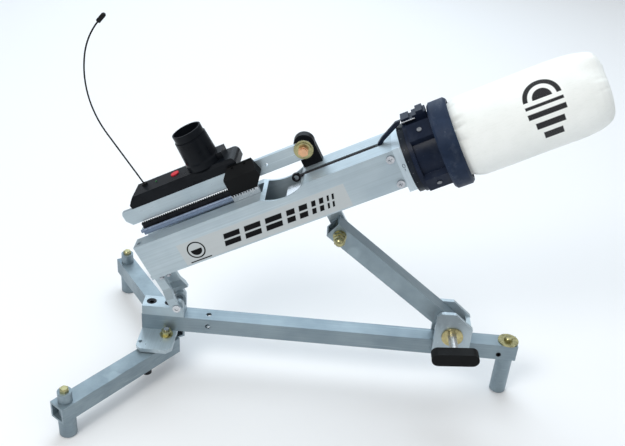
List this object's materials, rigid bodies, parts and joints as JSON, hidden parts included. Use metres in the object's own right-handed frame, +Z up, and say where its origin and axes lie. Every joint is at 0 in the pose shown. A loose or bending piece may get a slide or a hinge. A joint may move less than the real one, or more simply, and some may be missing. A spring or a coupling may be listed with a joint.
{
  "type": "gun dog training dummy launcher",
  "caption": "Tripod-based launcher that throws a canvas training dummy from a tilted tube, with adjustable elevation strut, remote receiver, sounder and whip antenna.",
  "frame": {"origin": "on the ground under the middle of the overall box", "axes": "+X along the base bar towards the muzzle, +Y to the far side, +Z up"},
  "size_m": [0.6873, 0.373, 0.5335],
  "materials": {
    "bar_aluminium": "mill finish, lightly brushed",
    "plate_aluminium": "brushed",
    "housing_aluminium": "brushed",
    "steel": "bright",
    "yellow_zinc": "yellow zinc plated",
    "bright_zinc": "bright zinc plated",
    "black_oxide": "black oxide",
    "black_plastic": "moulded, fine texture",
    "black_gloss": "satin",
    "red_plastic": "gloss",
    "dial_plastic": "smooth",
    "collar_rubber": "dusty",
    "canvas": "woven cotton, off-white",
    "liner": "smooth",
    "board": "circuit board",
    "whip": "smooth"
  },
  "bodies": {
    "base": {"base_bar": "bar_aluminium", "front_foot": "bar_aluminium", "front_foot_fixings": "yellow_zinc", "bar_stop_pins": "black_oxide", "leg_plate": "plate_aluminium", "leg_pivot_bolts": "bright_zinc", "leg_pivot_nuts": "yellow_zinc", "pivot_block": "plate_aluminium", "pivot_block_screws": "black_oxide", "hinge_pins": "steel"},
    "near_leg": {"near_leg": "bar_aluminium", "near_foot": "bar_aluminium", "near_foot_bolt": "yellow_zinc"},
    "far_leg": {"far_leg": "bar_aluminium", "far_foot": "bar_aluminium", "far_foot_bolt": "yellow_zinc"},
    "near_lock": {"near_lock_pin": "black_oxide"},
    "far_lock": {"far_lock_pin": "black_oxide"},
    "launcher": {"near_hinge_strap": "plate_aluminium", "far_hinge_strap": "plate_aluminium", "mount_plate": "plate_aluminium", "housing": "housing_aluminium", "muzzle_plate": "plate_aluminium", "muzzle_screws": "bright_zinc", "launch_tube": "steel", "firing_chamber": "steel", "striker": "steel", "striker_spring": "steel", "spring_backstop": "plate_aluminium", "launch_drum": "black_plastic", "rubber_collar": "collar_rubber", "drum_fixings": "steel", "drum_catch": "black_plastic", "slide_rails": "steel", "rack_strip": "black_oxide", "pull_rod": "black_oxide", "arm_pivot_block": "black_plastic", "arm_pivot_bolt": "yellow_zinc", "arm_pivot_washers": "yellow_zinc", "strut_lug": "plate_aluminium", "underside_screws": "bright_zinc", "strut_bolt": "yellow_zinc", "strut_nut": "yellow_zinc"},
    "dial": {"index_ring": "dial_plastic"},
    "latch": {"latch_grip": "black_plastic", "latch_jaw": "steel"},
    "arm": {"arm_bar": "plate_aluminium", "receiver_shelf": "plate_aluminium", "receiver_base": "black_gloss", "receiver_cover": "black_gloss", "receiver_board": "board", "horn": "black_gloss", "antenna": "whip"},
    "button": {"release_button": "red_plastic"},
    "dummy": {"canvas_dummy": "canvas", "dummy_liner": "liner"},
    "strut": {"strut_tube": "bar_aluminium", "clamp_plates": "plate_aluminium"},
    "clamp_handle": {"clamp_bolt": "steel", "clamp_knob": "black_plastic"}
  },
  "joints": [
    {"name": "elevation", "type": "hinge", "parent": "base", "child": "launcher", "pos_m": [-0.205, 0, 0.1111], "axis": [0, -1, 0], "range_deg": [-7, 16]},
    {"name": "strut_swing", "type": "hinge", "parent": "launcher", "child": "strut", "pos_m": [0.01724, 0, 0.25218], "axis": [0, -1, 0], "range_deg": [-37, 16.5]},
    {"name": "near_leg_fold", "type": "hinge", "parent": "base", "child": "near_leg", "pos_m": [-0.22, -0.023, 0.045], "axis": [0, 0, 1], "range_deg": [0, 125.8]},
    {"name": "far_leg_fold", "type": "hinge", "parent": "base", "child": "far_leg", "pos_m": [-0.22, 0.023, 0.045], "axis": [0, 0, 1], "range_deg": [-125.8, 0]},
    {"name": "near_lock_slide", "type": "slide", "parent": "near_leg", "child": "near_lock", "axis": [0, 0, 1], "range_m": [0, 0.0048]},
    {"name": "far_lock_slide", "type": "slide", "parent": "far_leg", "child": "far_lock", "axis": [0, 0, 1], "range_m": [0, 0.0048]},
    {"name": "arm_lift", "type": "hinge", "parent": "launcher", "child": "arm", "pos_m": [-0.0407, 0, 0.36545], "axis": [0, 1, 0], "range_deg": [0, 70]},
    {"name": "button_press", "type": "slide", "parent": "arm", "child": "button", "axis": [0.4756, 0, -0.8796], "range_m": [0, 0.001], "stiffness_N_per_m": 400, "springref_m": -0.001},
    {"name": "latch_slide", "type": "slide", "parent": "launcher", "child": "latch", "axis": [0.8796, 0, 0.4756], "range_m": [0, 0.04]},
    {"name": "dial_turn", "type": "hinge", "parent": "launcher", "child": "dial", "pos_m": [0.09944, 0, 0.37223], "axis": [0.8796, 0, 0.4756], "range_deg": [-40, 40]},
    {"name": "dummy_slide", "type": "slide", "parent": "launcher", "child": "dummy", "axis": [0.8796, 0, 0.4756], "range_m": [0, 0.17]},
    {"name": "clamp_turn", "type": "hinge", "parent": "strut", "child": "clamp_handle", "pos_m": [0.192, 0, 0.10455], "axis": [0, 1, 0], "range_deg": [0, 180]}
  ],
  "couplings": [
    {"joint": "strut_swing", "follows": "elevation", "ratio": -2.267}
  ]
}
